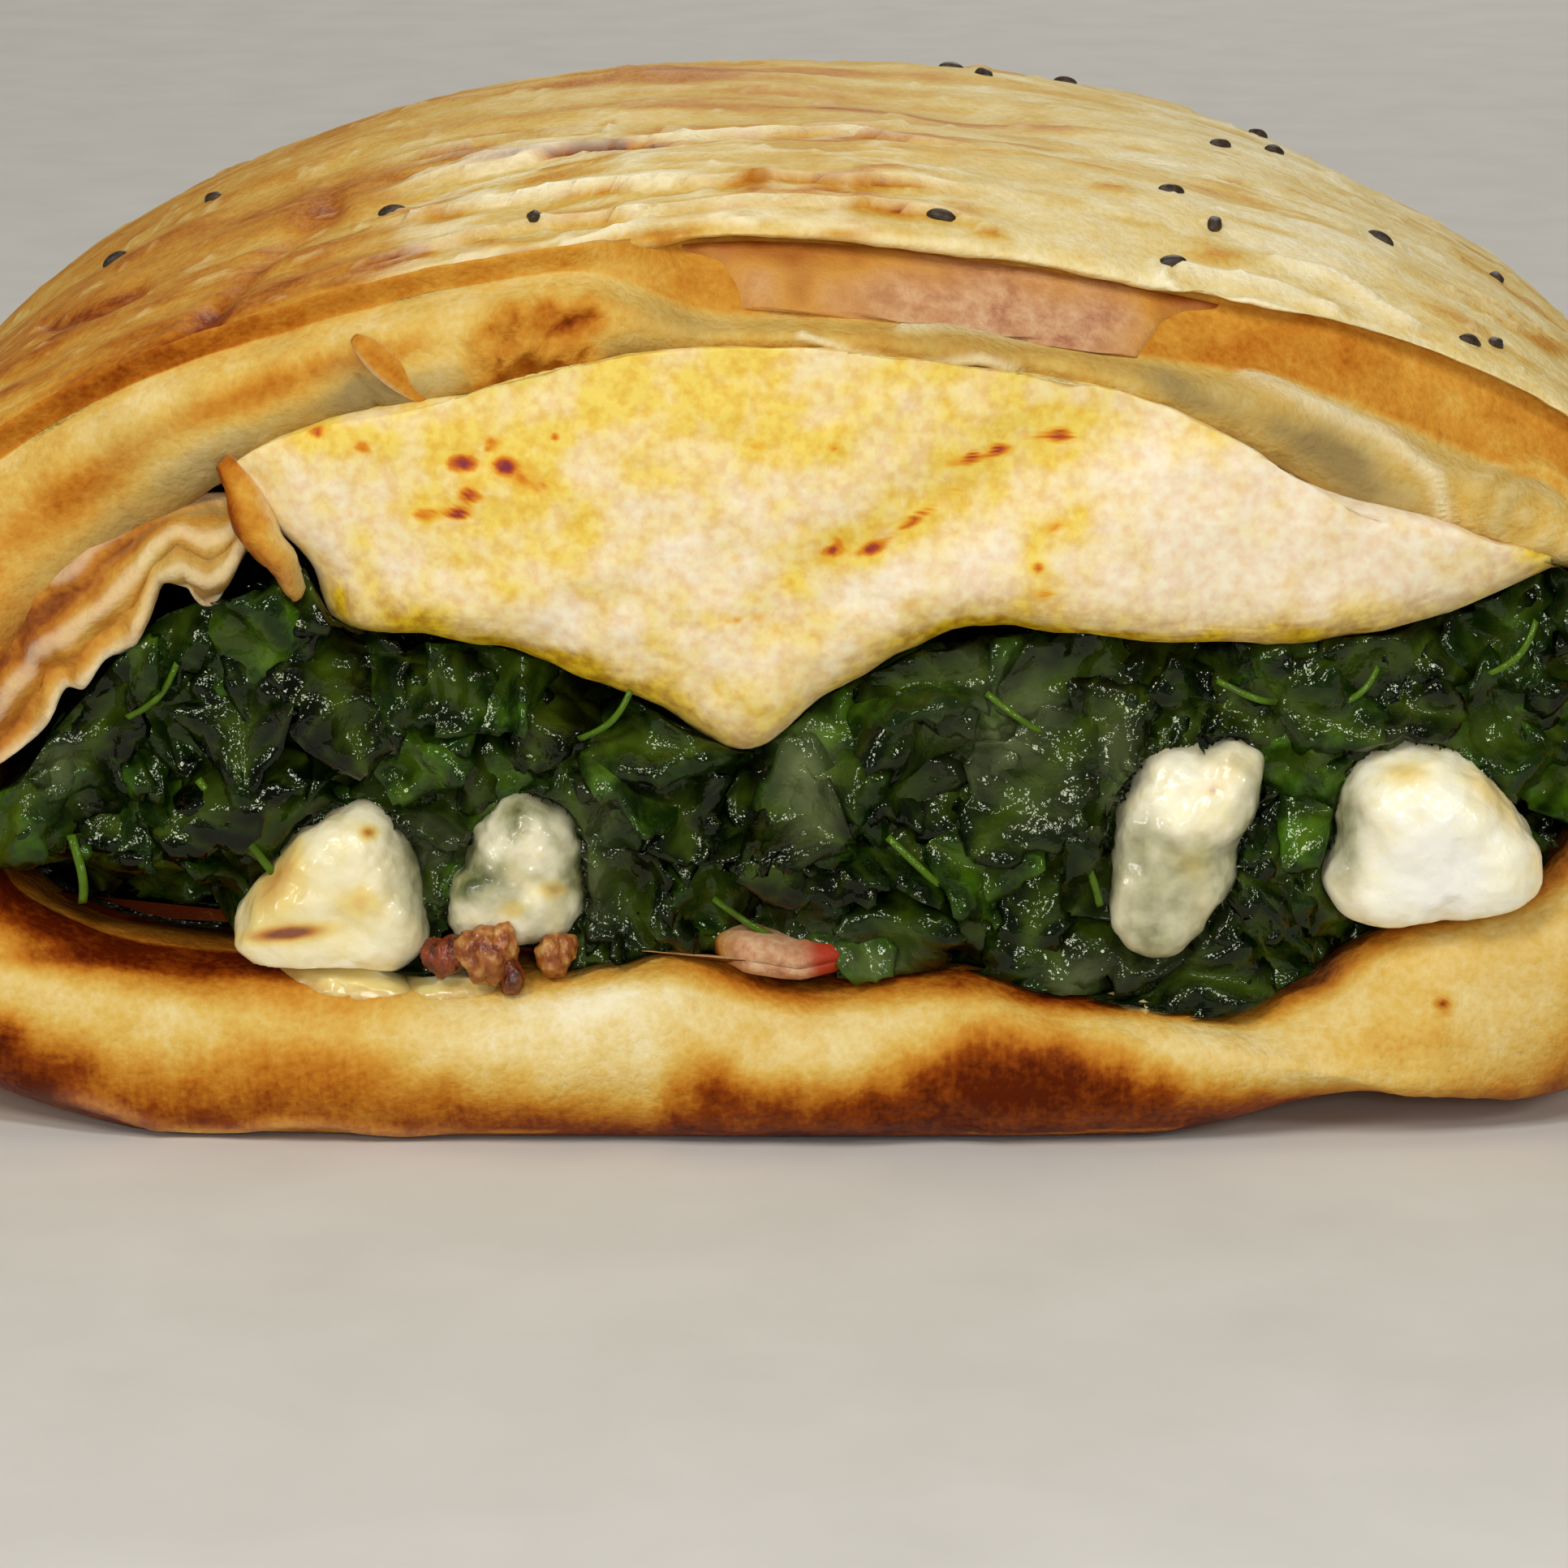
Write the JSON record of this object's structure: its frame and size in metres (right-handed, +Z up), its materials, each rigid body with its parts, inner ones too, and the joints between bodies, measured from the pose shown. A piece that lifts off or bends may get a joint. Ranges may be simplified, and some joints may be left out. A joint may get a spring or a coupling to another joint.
{
  "type": "stromboli half",
  "caption": "Baked stromboli cut across: a wrap of browned bread dough with a layered roof, filled with chicken, wilted spinach, melted mozzarella, ham and sausage crumbs.",
  "frame": {"origin": "centre of the underside that the loaf rests on, on its surface", "axes": "+Z up, +Y along the loaf from the cut end to the tucked end, +X to the right as seen from the cut end"},
  "size_m": [0.127, 0.14, 0.0593],
  "materials": {
    "baked_dough": "baked bread dough: cream where it was covered, golden to dark brown on the crust and the lip's lower half, with dark seeds",
    "ham": "thin moist slice, pink to reddish brown, dried at its edge",
    "chicken": "cooked breast meat, fine grained, pale cream with yellow and red spice specks",
    "mozzarella": "melted cheese, soft gloss, milky cream and partly see-through where thin",
    "sausage": "fried crumbs, brown and greasy",
    "spinach": "wilted leaf, very dark green, wet gloss"
  },
  "bodies": {
    "root": {"dough": "baked_dough", "ham_roof": "ham", "ham_floor": "ham", "chicken": "chicken", "mozzarella_left": "mozzarella", "mozzarella_centre_left": "mozzarella", "mozzarella_centre_right": "mozzarella", "mozzarella_right": "mozzarella", "sausage_left": "sausage", "sausage_right": "sausage", "spinach": "spinach"}
  },
  "joints": []
}
